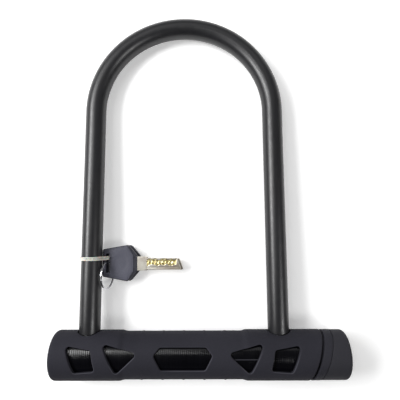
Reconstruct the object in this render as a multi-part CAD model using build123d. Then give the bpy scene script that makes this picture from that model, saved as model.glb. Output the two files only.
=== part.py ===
from build123d import *
import math
import os

# Bicycle U-lock lying flat: a coated steel shackle in a straight crossbar, with two keys
# and a split ring tied to the left leg. Units are millimetres.
#
# LOCK frame: x along the crossbar from the shackle's centre plane, y from the crossbar's
# axis toward the arch in the shackle's plane, z normal to that plane.
# The lock rests on the crossbar's thick ends and on the top of the arch, so the LOCK frame
# is tipped toward the arch. FLOOR frame: same x, y, but level, with z from the floor.

# ---------------------------------------------------------------- driving dimensions
ROD_R = 8.0            # coated rod
CORE_R = 7.0           # steel core of the shackle
LEG_X = 72.0           # half the distance between the legs' centres
LEG_Y = 190.8          # straight leg, from the crossbar's axis to the start of the arch
COAT_Y = 15.6          # where the coating stops, just inside the leg hole
FOOT_Y = -10.5         # end of each foot

END_R = 18.0           # thick ends of the crossbar
MID_R = 17.1           # slim middle of the crossbar
CAP_R = 17.4           # right end cap
BAR_X0 = -97.6         # left end of the crossbar
BAR_X1 = 121.4         # right end of the crossbar
STEP_A, STEP_B = 43.0, 47.5   # the ramp between the slim middle and the thick ends
RIM_R = 3.0            # rounding of both rims
SEAM_SLOPE = 0.30      # the seams lean: x = x0 + slope * y
SEAM_1, SEAM_1_W = 98.4, 1.4
SEAM_2, SEAM_2_W = 105.3, 0.35

TUBE_R, TUBE_IN = 15.2, 13.0
TUBE_X0, TUBE_X1 = -93.8, 115.0
SLEEVE_IN = 15.3
HOLE_R = 8.7           # leg hole in the sleeve
WALL_X = 117.0         # inside of the end cap's wall

LOCKBAR_R, LOCKBAR_FLAT = 4.0, 2.1
KEYHOLE_R, MOUTH = 4.3, 2.5   # keyhole slot in each foot: chamber radius, half width of its mouth

PLUG_R, PLUG_BORE = 7.2, 7.26
NOSE_R = 9.6
HOUSE_X0, HOUSE_X1 = 84.0, 115.0
FACE_X = 118.4         # face of the lock cylinder, recessed in the end cap

TIE_Y, TIE_W, TIE_T = 71.4, 2.7, 1.1
STRAND_X = -59.8       # where the tie goes down through the keys
RING_C, RING_R = (-60.7, 58.55, 11.08), 10.3
RING_TILT = 77.0       # between the ring's plane and the floor
BOW_T = 4.6
BOW1_Z, BOW2_Z = 7.1, 2.3     # undersides of the two key bows
BLADE_T = 2.3

# ---------------------------------------------------------------- placing
TILT = math.degrees(math.asin((END_R - ROD_R) / (LEG_Y + LEG_X)))
OX = -(BAR_X0 + BAR_X1) / 2
OY = -((LEG_Y + LEG_X) * math.cos(math.radians(TILT)) + ROD_R - END_R) / 2


def lock(shape):
    return Pos(OX, OY, END_R) * (Rot(-TILT, 0, 0) * shape)


def level(shape):
    return Pos(OX, OY, 0) * shape


def xcyl(r, x0, x1, y=0.0, z=0.0):
    return Pos((x0 + x1) / 2, y, z) * Rot(0, 90, 0) * Cylinder(r, x1 - x0)


def ycyl(r, y0, y1, x=0.0, z=0.0):
    return Pos(x, (y0 + y1) / 2, z) * Rot(90, 0, 0) * Cylinder(r, y1 - y0)


def beyond(x0):
    """All of space on the right of the leaning plane x = x0 + slope * y."""
    a = math.degrees(math.atan(SEAM_SLOPE))
    return Pos(x0, 0, 0) * Rot(0, 0, -a) * Pos(100, 0, 0) * Box(200, 200, 200)


def turned(points):
    """A solid of revolution about the x axis from (x, r) points."""
    pts = [(x, r, 0) for x, r in points]
    return revolve(make_face(Polyline(*pts, close=True)), Axis.X)


def plate(points, t, z0, rounding=0.0):
    """A flat plate from z0 to z0 + t, with its corners rounded."""
    s = make_face(Polyline(*[(x, y, 0) for x, y in points], close=True))
    if rounding:
        s = fillet(s.vertices(), rounding)
    return Pos(0, 0, z0) * extrude(s, t)


# ---------------------------------------------------------------- crossbar
def window_shapes():
    w1 = [(-84.8, 9.46), (-66.9, 6.56), (-63.8, -7.16), (-78.25, -8.45)]
    w2 = [(-58.5, 10.8), (-33.55, 4.51), (-48.4, -9.57)]
    w3 = [(-20.75, 3.21), (-16.55, 8.06), (16.55, 8.06), (20.75, 3.21), (15.8, -6.61), (-15.8, -6.61)]
    flip = lambda w: [(-x, y) for x, y in w][::-1]
    return [w1, w2, w3, flip(w2), flip(w1)]


profile = [(BAR_X0, 0), (BAR_X0, END_R), (-STEP_B, END_R), (-STEP_A, MID_R), (STEP_A, MID_R),
           (STEP_B, END_R), (112.0, END_R), (112.0, 0)]
sleeve = turned(profile)
rim = [e for e in sleeve.edges().filter_by(GeomType.CIRCLE)
       if abs(e.arc_center.X - BAR_X0) < 0.01 and e.radius > END_R - 0.1]
sleeve = fillet(rim, RIM_R)
sleeve -= xcyl(SLEEVE_IN, TUBE_X0 - 0.1, 130)
sleeve -= beyond(SEAM_1 - SEAM_1_W / 2)
for x in (-LEG_X, LEG_X):
    sleeve -= ycyl(HOLE_R, 6, 30, x)
for w in window_shapes():
    sleeve -= plate(w, 30, 3.0, 1.6)
    sleeve -= plate(w, 30, -33.0, 1.6)

tube = xcyl(TUBE_R, TUBE_X0, TUBE_X1) - xcyl(TUBE_IN, TUBE_X0 - 1, TUBE_X1 + 1)
for x in (-LEG_X, LEG_X):
    tube -= ycyl(8.3, 5, 30, x)

collar = xcyl(END_R - 0.1, 85, 125) - xcyl(SLEEVE_IN, 80, 130)
collar = collar - beyond(SEAM_2 - SEAM_2_W / 2)
collar = collar & beyond(SEAM_1 + SEAM_1_W / 2)

cap = turned([(90, 0), (90, CAP_R), (BAR_X1, CAP_R), (BAR_X1, 0)])
rim = [e for e in cap.edges().filter_by(GeomType.CIRCLE) if abs(e.arc_center.X - BAR_X1) < 0.01]
cap = fillet(rim, RIM_R)
cap -= xcyl(SLEEVE_IN, 80, WALL_X)
cap -= xcyl(NOSE_R + 0.2, 110, 130)
cap &= beyond(SEAM_2 + SEAM_2_W / 2)

# ---------------------------------------------------------------- lock cylinder
SCREW_X = 112.3
screw_hole, screws, tube_holes = [], [], []
for a in (35, -35):
    turn = Rot(a, 0, 0)
    screws.append(turn * (Pos(SCREW_X, 0, -15.15) * Cylinder(1.5, 4.0)
                          + Pos(SCREW_X, 0, -16.45) * Cone(2.3, 1.5, 1.5)
                          - Pos(SCREW_X, 0, -17.1) * Box(0.7, 3.4, 0.9)))
    screw_hole.append(turn * (Pos(SCREW_X, 0, -15.4) * Cylinder(1.55, 6.0)
                              + Pos(SCREW_X, 0, -17.0) * Cone(3.1, 1.55, 2.6)))
for h in screw_hole:
    cap -= h
    tube -= h

PIN_X = 100.0
pin_hole = Pos(PIN_X, 0, -11.7) * Cylinder(1.55, 7.0)
housing_pin = Pos(PIN_X, 0, -11.65) * (Cylinder(1.5, 6.8) - Cylinder(0.8, 7.0)
                                       - Pos(0.9, 0, 0) * Box(1.4, 0.5, 8.0))
tube -= pin_hole

housing = xcyl(12.9, HOUSE_X0, HOUSE_X1) + xcyl(NOSE_R, HOUSE_X1 - 1, FACE_X)
housing -= xcyl(PLUG_BORE, HOUSE_X0 - 1, FACE_X + 1)
housing -= pin_hole
for h in screw_hole:
    housing -= h

WAFER_X = [92.0, 96.0, 100.0, 104.0, 108.0]
plug = xcyl(PLUG_R, 81.5, FACE_X - 0.2)
plug -= xcyl(9, 82.2, 83.4) - xcyl(6.35, 82.0, 83.6)
plug -= Pos((88 + 121) / 2, 0, 0) * Box(33, 2.7, 9.8)
plug -= xcyl(6.2, FACE_X - 0.7, FACE_X) - xcyl(5.9, FACE_X - 0.8, FACE_X + 0.1)
for x in WAFER_X:
    plug -= Pos(x, 0, 0) * Box(1.1, 8.5, 11.5)
wafers, springs = [], []
for x in WAFER_X:
    w = Pos(x, 0, 0) * (Box(1.0, 8.3, 11.3) - Box(2.0, 3.0, 9.6) - Pos(0, 3.5, -4.3) * Box(2, 1.8, 3.4))
    w = w & xcyl(PLUG_R - 0.05, x - 1, x + 1)
    wafers.append(w)
    springs.append(Pos(x, 3.35, -4.05) * Cylinder(0.5, 2.5))
clip = xcyl(8.8, 82.3, 83.3) - xcyl(6.4, 82, 84) - Pos(82.8, 0, 7) * Box(3, 5.0, 8)
tailpiece = xcyl(6.5, 79.8, 81.4) - Pos(80.5, 0, 0) * Box(4, 5.2, 3.1)

bar = xcyl(LOCKBAR_R, -92.5, 79.7)
for x0, x1 in ((-80.8, -63.2), (63.2, 79.7)):
    for s in (1, -1):
        bar -= Pos((x0 + x1) / 2, 0, s * (LOCKBAR_FLAT + 3)) * Box(x1 - x0, 12, 6)
bar += Pos(80.4, 0, 0) * Box(1.6, 5.0, 2.9)


def bearing(x0, x1):
    b = xcyl(12.9, x0, x1) - xcyl(LOCKBAR_R + 0.06, x0 - 1, x1 + 1)
    for k in range(6):
        b -= Rot(60 * k + 30, 0, 0) * xcyl(2.4, x0 - 1, x1 + 1, 0, 8.6)
    return b


bearing_end = bearing(-92.5, -85.0)
bearing_left = bearing(-61.0, -54.0)
bearing_right = bearing(54.0, 61.0)


def foot_pad(x):
    return ycyl(5.6, -14, -10.9, x) & xcyl(12.9, x - 20, x + 20)


def leg_bush(x):
    b = ycyl(8.22, 9.4, 15.1, x) - ycyl(CORE_R + 0.08, 8, 17, x)
    return b


nose_seal = Pos(116.0, 0, 0) * Rot(0, 90, 0) * Torus(NOSE_R + 0.95, 0.85)

# ---------------------------------------------------------------- shackle


def u_rod(r, y0):
    arch = Pos(0, LEG_Y, 0) * revolve(Pos(LEG_X, 0, 0) * (Rot(90, 0, 0) * Circle(r)), Axis.Z, 180)
    return arch + ycyl(r, y0, LEG_Y, LEG_X) + ycyl(r, y0, LEG_Y, -LEG_X)


core = u_rod(CORE_R, FOOT_Y)
for x in (-LEG_X, LEG_X):
    ends = [e for e in core.edges().filter_by(GeomType.CIRCLE)
            if abs(e.arc_center.Y - FOOT_Y) < 0.01 and abs(e.arc_center.X - x) < 1]
    core = chamfer(ends, 1.0)
for x in (-LEG_X, LEG_X):
    core -= xcyl(KEYHOLE_R, x - 12, x + 12)
    core -= Pos(x, -7.0, 0) * Box(24, 14, 2 * MOUTH)
coating = u_rod(ROD_R, COAT_Y) - u_rod(CORE_R + 0.02, COAT_Y - 5)

# ---------------------------------------------------------------- keys, tie and ring (FLOOR frame)
BOW = [(-64.3, 57.4), (-44.5, 53.6), (-39.5, 61.7), (-39.6, 74.1), (-44.8, 82.4), (-64.3, 79.0)]
SLOT = (-62.5, -58.5, 60.5, 74.0)      # x0, x1, y0, y1
BLADE = [(-48.0, 64.0), (-41.5, 64.0), (-41.5, 62.0), (-31.5, 62.0), (-30.2, 62.7), (-3.4, 62.7), (-2.6, 63.5),
         (-5.6, 71.4), (-6.4, 71.8), (-31.0, 71.8), (-32.0, 73.0), (-41.5, 73.0), (-41.5, 71.0), (-48.0, 71.0)]


def key(z, dx, dy, spin):
    """One key: a moulded bow with a slot, over the tang of a flat blade."""
    place = Pos(STRAND_X + dx, TIE_Y + dy, 0) * Rot(0, 0, spin) * Pos(-STRAND_X, -TIE_Y, 0)
    bow = plate(BOW, BOW_T, z, 1.6)
    top = [e for e in bow.edges() if abs(e.center().Z - z) < 0.01 or abs(e.center().Z - z - BOW_T) < 0.01]
    bow = chamfer(top, 0.7)
    x0, x1, y0, y1 = SLOT
    bow -= plate([(x0, y0), (x1, y0), (x1, y1), (x0, y1)], BOW_T + 2, z - 1, 1.0)
    zb = z + (BOW_T - BLADE_T) / 2
    blade = plate(BLADE, BLADE_T, zb, 0.3)
    bow -= plate([(-48.05, 63.95), (-41.85, 63.95), (-41.85, 61.95), (-36, 61.95), (-36, 73.05),
                  (-41.85, 73.05), (-41.85, 71.05), (-48.05, 71.05)], BLADE_T + 0.1, zb - 0.05)
    for side in (zb, zb + BLADE_T):
        for k, y in enumerate((68.9, 67.4, 69.3, 67.8, 69.0)):
            blade -= Pos(-27.5 + 4.6 * k, y, side) * Cylinder(1.7, 1.1)
        blade -= Pos(-18, 64.6, side) * Box(27, 0.9, 0.5)
    return place * bow, place * blade


bow_1, blade_1 = key(BOW1_Z, 0, 0, 0)
bow_2, blade_2 = key(BOW2_Z, 1.6, -0.1, -0.5)

leg_z = END_R - TIE_Y * math.tan(math.radians(TILT))     # height of the leg's axis at the tie
hull_parts = Edge.make_circle(ROD_R + 0.2, Plane((-LEG_X, leg_z, 0)))
corner = [(STRAND_X - TIE_T / 2 - 0.5, 13.4), (STRAND_X - TIE_T / 2 - 0.5, 1.95), (-64.2, 1.95)]
small = [Edge.make_circle(0.5, Plane((x, z, 0))) for x, z in corner]
inside = make_hull([hull_parts] + small)
loop2d = offset(inside, TIE_T) - inside
tie = Pos(0, TIE_Y, 0) * (Rot(90, 0, 0) * extrude(loop2d, TIE_W / 2, both=True))
head = Pos(-71.0, TIE_Y, leg_z - ROD_R - 0.2 - 2.2) * Rot(0, 14, 0) * Box(4.8, 4.6, 3.9)
keep_out = Pos(-LEG_X, TIE_Y, leg_z) * Rot(90, 0, 0) * Cylinder(ROD_R + 0.2, 12)
tie = tie + (head - keep_out)

ring = Rot(0, RING_TILT, 0) * Torus(RING_R, 0.72)
ring = Pos(*RING_C) * ring

# ---------------------------------------------------------------- nodes
nodes = {
    "crossbar_sleeve": lock(sleeve),
    "crossbar_tube": lock(tube),
    "collar_ring": lock(collar),
    "end_cap": lock(cap),
    "cap_screws": [lock(s) for s in screws],
    "leg_bush_left": lock(leg_bush(-LEG_X)),
    "leg_bush_right": lock(leg_bush(LEG_X)),
    "foot_pad_left": lock(foot_pad(-LEG_X)),
    "foot_pad_right": lock(foot_pad(LEG_X)),
    "bar_bearing_end": lock(bearing_end),
    "bar_bearing_left": lock(bearing_left),
    "bar_bearing_right": lock(bearing_right),
    "lock_housing": lock(housing),
    "housing_pin": lock(housing_pin),
    "nose_seal": lock(nose_seal),
    "lock_plug": lock(plug),
    "wafers": [lock(w) for w in wafers],
    "wafer_springs": [lock(s) for s in springs],
    "plug_clip": lock(clip),
    "tailpiece": lock(tailpiece),
    "locking_bar": lock(bar),
    "shackle_core": lock(core),
    "shackle_coating": lock(coating),
    "cable_tie": level(tie),
    "key_bow_1": level(bow_1),
    "key_blade_1": level(blade_1),
    "key_bow_2": level(bow_2),
    "key_blade_2": level(blade_2),
    "split_ring": level(ring),
}

os.makedirs("parts", exist_ok=True)
for name, shape in nodes.items():
    if isinstance(shape, list):
        solids = [s for item in shape for s in item.solids()]
    else:
        solids = list(shape.solids())
    out = solids[0] if len(solids) == 1 else Compound(children=solids)
    export_step(out, os.path.join("parts", name + ".step"))
print("tilt", round(TILT, 4), "origin shift", round(OX, 3), round(OY, 3))
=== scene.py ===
import math

import bpy
import numpy as np
from mathutils import Matrix, Vector
from mathutils.geometry import delaunay_2d_cdt


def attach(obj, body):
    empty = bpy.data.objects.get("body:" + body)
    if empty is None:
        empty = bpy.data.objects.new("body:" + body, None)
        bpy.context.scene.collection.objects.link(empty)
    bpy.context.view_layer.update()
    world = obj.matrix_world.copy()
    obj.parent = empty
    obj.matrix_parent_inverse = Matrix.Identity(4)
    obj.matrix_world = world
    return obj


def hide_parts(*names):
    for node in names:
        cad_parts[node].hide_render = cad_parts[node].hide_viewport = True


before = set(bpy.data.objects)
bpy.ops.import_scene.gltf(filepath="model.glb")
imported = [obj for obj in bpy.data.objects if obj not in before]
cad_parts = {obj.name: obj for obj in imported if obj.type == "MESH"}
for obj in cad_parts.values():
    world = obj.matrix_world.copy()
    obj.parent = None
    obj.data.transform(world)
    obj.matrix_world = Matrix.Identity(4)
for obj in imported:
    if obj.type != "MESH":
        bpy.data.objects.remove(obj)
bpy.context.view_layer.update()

# ------------------------------------------------------------------ dimensions, mm, as in the CAD
ROD_R, CORE_R = 8.0, 7.0
LEG_X, LEG_Y, COAT_Y = 72.0, 190.8, 15.6
END_R, MID_R, CAP_R = 18.0, 17.1, 17.75
BAR_X0, BAR_X1 = -97.6, 121.4
STEP_A, STEP_B = 43.0, 47.5
RIM_R, SLOPE = 3.0, 0.30
SEAM_1, SEAM_1_W, SEAM_2, SEAM_2_W = 98.4, 1.4, 105.3, 0.35
TUBE_R, TUBE_IN, TUBE_X0, TUBE_X1 = 15.2, 13.0, -93.8, 115.0
SLEEVE_IN, HOLE_R, WALL_X = 15.3, 8.7, 117.0
PLUG_R, PLUG_BORE, NOSE_R, FACE_X = 7.2, 7.26, 9.6, 118.4
TIE_Y, TIE_W, TIE_T, STRAND_X = 71.4, 2.7, 1.1, -59.8
STRAP_Y = TIE_Y + 0.8                               # where the strap has slid to in the slot
RING_C, RING_R, RING_TILT = (-60.7, 58.55, 11.08), 10.3, 77.0
BOW_T, BOW1_Z, BOW2_Z, BLADE_T = 4.6, 7.1, 2.3, 2.3

T = math.asin((END_R - ROD_R) / (LEG_Y + LEG_X))
CT, ST = math.cos(T), math.sin(T)
OX = -(BAR_X0 + BAR_X1) / 2
OY = -((LEG_Y + LEG_X) * CT + ROD_R - END_R) / 2


def lock(P):
    """LOCK frame, mm, to the row frame, metres."""
    P = np.asarray(P, float)
    return np.stack([P[:, 0] + OX, P[:, 1] * CT + P[:, 2] * ST + OY, -P[:, 1] * ST + P[:, 2] * CT + END_R], 1) / 1000


def level(P):
    """FLOOR frame, mm, to the row frame, metres."""
    return (np.asarray(P, float) + np.array([OX, OY, 0.0])) / 1000


# ------------------------------------------------------------------ mesh helpers
class Build:
    """Collects vertices (mm) and faces, then makes one mesh object."""

    def __init__(self):
        self.v, self.f, self.n = [], [], 0

    def add(self, pts):
        pts = np.asarray(pts, float).reshape(-1, 3)
        i = np.arange(self.n, self.n + len(pts))
        self.v.append(pts)
        self.n += len(pts)
        return i

    def bridge(self, a, b, closed=True):
        n = len(a)
        for k in range(n if closed else n - 1):
            j = (k + 1) % n
            self.f.append((int(a[k]), int(a[j]), int(b[j]), int(b[k])))

    def rings(self, rings, closed=True):
        ids = [self.add(r) for r in rings]
        for a, b in zip(ids[:-1], ids[1:]):
            self.bridge(a, b, closed)
        return ids

    def fan(self, ring, centre):
        c = int(self.add([centre])[0])
        n = len(ring)
        for k in range(n):
            self.f.append((int(ring[k]), int(ring[(k + 1) % n]), c))

    def make(self, name, body, place=lock, sharp=38.0, weld=2e-7, attr=None):
        v = place(np.concatenate(self.v))
        me = bpy.data.meshes.new(name)
        me.from_pydata(v.tolist(), [], self.f)
        if attr is not None:
            for key, val in attr.items():
                a = me.attributes.new(key, "FLOAT", "POINT")
                a.data.foreach_set("value", np.asarray(val, np.float32))
        import bmesh
        bm = bmesh.new()
        bm.from_mesh(me)
        bmesh.ops.remove_doubles(bm, verts=bm.verts, dist=weld)
        bmesh.ops.dissolve_degenerate(bm, dist=weld, edges=bm.edges)
        bmesh.ops.recalc_face_normals(bm, faces=bm.faces)
        bm.to_mesh(me)
        bm.free()
        me.polygons.foreach_set("use_smooth", [True] * len(me.polygons))
        me.set_sharp_from_angle(angle=math.radians(sharp))
        o = bpy.data.objects.new(name, me)
        bpy.context.scene.collection.objects.link(o)
        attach(o, body)
        return o


def in_poly(P, loop):
    x, y = P[:, 0], P[:, 1]
    inside = np.zeros(len(P), bool)
    n = len(loop)
    for i in range(n):
        (ax, ay), (bx, by) = loop[i], loop[(i + 1) % n]
        c = (ay > y) != (by > y)
        if ay != by:
            inside ^= c & (x < (bx - ax) * (y - ay) / (by - ay) + ax)
    return inside


def near_loop(P, loop, d):
    out = np.zeros(len(P), bool)
    L = np.asarray(loop)
    for i in range(len(L)):
        a, b = L[i], L[(i + 1) % len(L)]
        m = (P[:, 0] > min(a[0], b[0]) - d) & (P[:, 0] < max(a[0], b[0]) + d) & (P[:, 1] > min(a[1], b[1]) - d) & (P[:, 1] < max(a[1], b[1]) + d)
        m &= ~out
        if not m.any():
            continue
        q = P[m]
        ab = b - a
        h = np.clip(((q - a) @ ab) / max(ab @ ab, 1e-12), 0, 1)
        out[m] = np.linalg.norm(q - a - h[:, None] * ab, axis=1) < d
    return out


def sheet2d(outer, holes, inner_pts, keep_off):
    """Triangles filling outer minus holes. Returns the 2-D points (outer, holes, then the rest) and the faces."""
    loops = [np.asarray(outer, float)] + [np.asarray(h, float) for h in holes]
    P = np.asarray(inner_pts, float).reshape(-1, 2)
    if len(P):
        P = P[in_poly(P, loops[0])]
        P = P[~near_loop(P, loops[0], keep_off)]
        for h in loops[1:]:
            P = P[~in_poly(P, h)]
            P = P[~near_loop(P, h, keep_off)]
    pts, edges, n = [], [], 0
    for L in loops:
        pts.append(L)
        edges += [(n + i, n + (i + 1) % len(L)) for i in range(len(L))]
        n += len(L)
    pts = np.concatenate(pts + [P])
    res = delaunay_2d_cdt([Vector(p) for p in pts], edges, [], 0, 1e-7)
    vout, fout, orig = res[0], res[2], res[3]
    back = {}
    for i, o in enumerate(orig):
        if o:
            back[i] = o[0]
    cent = np.array([[sum(vout[k][0] for k in f) / len(f), sum(vout[k][1] for k in f) / len(f)] for f in fout])
    ok = in_poly(cent, loops[0])
    for h in loops[1:]:
        ok &= ~in_poly(cent, h)
    faces = [tuple(back[k] for k in f) for f, g in zip(fout, ok) if g and all(k in back for k in f)]
    return pts, faces, [len(L) for L in loops]


def rounded(poly, r, grow=0.0, arc=6, side=6):
    """A convex-cornered polygon with rounded corners of radius r, its sides moved out by grow.
    The number of points is the same whatever grow is."""
    P = np.asarray(poly, float)
    area = 0.5 * np.sum(P[:, 0] * np.roll(P[:, 1], -1) - np.roll(P[:, 0], -1) * P[:, 1])
    if area < 0:
        P = P[::-1]
    n = len(P)
    out = []
    arcs = []
    for i in range(n):
        a, b, c = P[i - 1], P[i], P[(i + 1) % n]
        d1, d2 = (b - a) / np.linalg.norm(b - a), (c - b) / np.linalg.norm(c - b)
        n1, n2 = np.array([d1[1], -d1[0]]), np.array([d2[1], -d2[0]])
        cr = d1[0] * d2[1] - d1[1] * d2[0]
        if cr > 0:      # convex corner: the arc's centre lies inside
            m = (n1 + n2) / (1 + n1 @ n2)
            C = b - m * r
            a1, a2 = math.atan2(n1[1], n1[0]), math.atan2(n2[1], n2[0])
            while a2 < a1:
                a2 += 2 * math.pi
            arcs.append([C + (r + grow) * np.array([math.cos(t), math.sin(t)]) for t in np.linspace(a1, a2, arc + 1)])
        else:           # reflex corner: the arc's centre lies outside
            m = (n1 + n2) / (1 + n1 @ n2)
            C = b + m * r
            a1, a2 = math.atan2(-n1[1], -n1[0]), math.atan2(-n2[1], -n2[0])
            while a2 > a1:
                a2 -= 2 * math.pi
            arcs.append([C + (r - grow) * np.array([math.cos(t), math.sin(t)]) for t in np.linspace(a1, a2, arc + 1)])
    for i in range(n):
        out += list(arcs[i])
        s, e = arcs[i][-1], arcs[(i + 1) % n][0]
        out += [s + (e - s) * k / side for k in range(1, side)]
    return np.array(out)


def grid(x0, x1, y0, y1, dx, dy):
    xs, ys = np.arange(x0, x1, dx), np.arange(y0, y1, dy)
    X, Y = np.meshgrid(xs, ys)
    X = X + (np.arange(len(ys)) % 2)[:, None] * dx / 2
    return np.stack([X.ravel(), Y.ravel()], 1)


def smooth(t):
    t = np.clip(t, 0, 1)
    return t * t * (3 - 2 * t)


# ------------------------------------------------------------------ materials
class Mat:
    """A small helper to write node materials."""

    def __init__(self, name):
        m = bpy.data.materials.new(name)
        m.use_nodes = True
        self.m, self.nt = m, m.node_tree
        self.bsdf = self.nt.nodes["Principled BSDF"]
        self.co = self.nt.nodes.new("ShaderNodeTexCoord").outputs["Object"]

    def n(self, kind, **props):
        node = self.nt.nodes.new(kind)
        for k, v in props.items():
            setattr(node, k, v)
        return node

    def link(self, a, b):
        self.nt.links.new(a, b)
        return b

    def scaled(self, sx, sy=None, sz=None):
        mp = self.n("ShaderNodeMapping")
        mp.inputs["Scale"].default_value = (sx, sy if sy is not None else sx, sz if sz is not None else sx)
        self.link(self.co, mp.inputs["Vector"])
        return mp.outputs["Vector"]

    def noise(self, scale, detail=4.0, rough=0.55, vec=None, distortion=0.0):
        t = self.n("ShaderNodeTexNoise")
        t.inputs["Scale"].default_value = scale
        t.inputs["Detail"].default_value = detail
        t.inputs["Roughness"].default_value = rough
        t.inputs["Distortion"].default_value = distortion
        self.link(vec if vec is not None else self.co, t.inputs["Vector"])
        return t.outputs["Fac"]

    def voronoi(self, scale, feature="F1", vec=None, out="Distance"):
        t = self.n("ShaderNodeTexVoronoi", feature=feature)
        t.inputs["Scale"].default_value = scale
        self.link(vec if vec is not None else self.co, t.inputs["Vector"])
        return t.outputs[out]

    def ramp(self, fac, stops):
        r = self.n("ShaderNodeValToRGB")
        e = r.color_ramp.elements
        while len(e) < len(stops):
            e.new(0.5)
        for el, (p, c) in zip(e, stops):
            el.position = p
            el.color = (c, c, c, 1) if isinstance(c, (int, float)) else (*c, 1)
        self.link(fac, r.inputs["Fac"])
        return r.outputs["Color"]

    def rng(self, fac, a, b, c, d):
        r = self.n("ShaderNodeMapRange")
        for i, v in enumerate((a, b, c, d)):
            r.inputs[i + 1].default_value = v
        self.link(fac, r.inputs[0])
        return r.outputs[0]

    def math(self, op, a, b=None):
        t = self.n("ShaderNodeMath", operation=op)
        for i, v in enumerate((a, b)):
            if v is None:
                continue
            if isinstance(v, (int, float)):
                t.inputs[i].default_value = v
            else:
                self.link(v, t.inputs[i])
        return t.outputs[0]

    def mix(self, fac, a, b, blend="MIX"):
        t = self.n("ShaderNodeMix", data_type="RGBA", blend_type=blend)
        if isinstance(fac, (int, float)):
            t.inputs["Factor"].default_value = fac
        else:
            self.link(fac, t.inputs["Factor"])
        for s, v in ((6, a), (7, b)):
            if isinstance(v, (tuple, list)):
                t.inputs[s].default_value = (*v, 1)
            else:
                self.link(v, t.inputs[s])
        return t.outputs[2]

    def bump(self, height, strength, distance, under=None):
        b = self.n("ShaderNodeBump")
        b.inputs["Strength"].default_value = strength
        b.inputs["Distance"].default_value = distance
        self.link(height, b.inputs["Height"])
        if under is not None:
            self.link(under, b.inputs["Normal"])
        return b.outputs["Normal"]

    def edges(self, low=0.5, high=0.6):
        g = self.n("ShaderNodeNewGeometry")
        return self.rng(g.outputs["Pointiness"], low, high, 0.0, 1.0)

    def out(self, color=None, rough=None, normal=None, metallic=None, **const):
        s = self.bsdf.inputs
        for key, v in (("Base Color", color), ("Roughness", rough), ("Normal", normal), ("Metallic", metallic)):
            if v is None:
                continue
            if isinstance(v, (int, float)):
                s[key].default_value = v
            elif isinstance(v, (tuple, list)):
                s[key].default_value = (*v, 1)
            else:
                self.link(v, s[key])
        for key, v in const.items():
            s[key.replace("_", " ")].default_value = v
        return self.m


def plastic(name, base, rough=0.5, grain=2600, depth=0.00006, strength=0.35, tint=0.12, spec=0.5, wear=0.0):
    """Moulded plastic: spark-eroded grain, slow shade changes, polished or dusty patches, paler rubbed edges, a painted
    highlight on marked window edges and painted shade on marked steps and rims.
    """
    m = Mat(name)
    big, mid, fine = m.noise(28, 3), m.noise(240, 4), m.noise(grain, 3, 0.6)
    lo, hi = tuple(c * (1 - tint) for c in base), tuple(c * (1 + tint) for c in base)
    col = m.mix(m.ramp(big, [(0.3, 0.0), (0.7, 1.0)]), lo, hi)
    speck = m.ramp(fine, [(0.35, 0.0), (0.75, 1.0)])
    col = m.mix(m.math("MULTIPLY", speck, 0.35), col, tuple(min(1, c * 1.9 + 0.004) for c in base))
    if wear:
        # painted highlight: marked window edges are made paler, on top of the rubbed edges found from pointiness
        painted_highlight = m.n("ShaderNodeAttribute", attribute_name="painted_highlight").outputs["Fac"]
        rub_and_highlight = m.math("MAXIMUM", m.math("MULTIPLY", m.edges(0.53, 0.62), wear), m.math("MULTIPLY", painted_highlight, m.rng(mid, 0.3, 0.7, 0.75, 1.0)))
        col = m.mix(rub_and_highlight, col, tuple(min(1, c * 2.3 + 0.012) for c in base))
    # painted shade: marked steps and rims are darkened towards 30 percent of the base colour
    step = m.n("ShaderNodeAttribute", attribute_name="step").outputs["Fac"]
    col = m.mix(m.math("MULTIPLY", step, 0.75), col, tuple(c * 0.30 for c in base))
    r = m.math("ADD", m.rng(big, 0.3, 0.7, rough - 0.05, rough + 0.05), m.rng(mid, 0.3, 0.7, -0.03, 0.03))
    nrm = m.bump(fine, strength, depth)
    nrm = m.bump(m.voronoi(grain * 0.55), strength * 0.5, depth * 0.7, nrm)
    return m.out(col, r, nrm, Specular_IOR_Level=spec)


def metal(name, base, rough=0.3, brush=(1, 1, 1), freq=900, depth=0.00003, strength=0.25, spots=0.15, edge=0.0):
    """Metal with a directional finish, faint stains and rubbed edges."""
    m = Mat(name)
    v = m.scaled(*brush)
    line = m.noise(freq, 5, 0.6, v)
    big = m.noise(60, 4)
    col = m.mix(m.ramp(big, [(0.3, 0.0), (0.7, 1.0)]), tuple(c * (1 - spots) for c in base), base)
    if edge:
        col = m.mix(m.math("MULTIPLY", m.edges(0.52, 0.6), edge), col, tuple(min(1, c * 1.4) for c in base))
    r = m.math("ADD", m.rng(line, 0.3, 0.7, rough - 0.08, rough + 0.08), m.rng(big, 0.3, 0.7, -0.04, 0.04))
    return m.out(col, r, m.bump(line, strength, depth), 1.0)


SLEEVE = plastic("sleeve_plastic", (0.0222, 0.0220, 0.0280), 0.62, 2400, 0.00007, 0.4, 0.10, 0.04, 0.6)
CAP = plastic("cap_plastic", (0.0255, 0.0252, 0.0300), 0.60, 2400, 0.00007, 0.4, 0.10, 0.06, 0.6)
COLLAR = plastic("collar_plastic", (0.0225, 0.0223, 0.0280), 0.58, 2400, 0.00006, 0.35, 0.10, 0.06, 0.6)
BOW = plastic("bow_plastic", (0.066, 0.067, 0.088), 0.48, 1300, 0.00016, 0.6, 0.14, 0.35, 0.9)
BUSH = plastic("bush_nylon", (0.02, 0.02, 0.022), 0.45, 3000, 0.00003, 0.2)
BEARING = plastic("bearing_plastic", (0.62, 0.60, 0.54), 0.42, 1800, 0.00003, 0.2, 0.06)
PAD = plastic("pad_rubber", (0.012, 0.012, 0.012), 0.75, 1200, 0.0001, 0.5)
SEAL = plastic("seal_rubber", (0.01, 0.01, 0.01), 0.5, 2500, 0.00004, 0.3)
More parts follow.
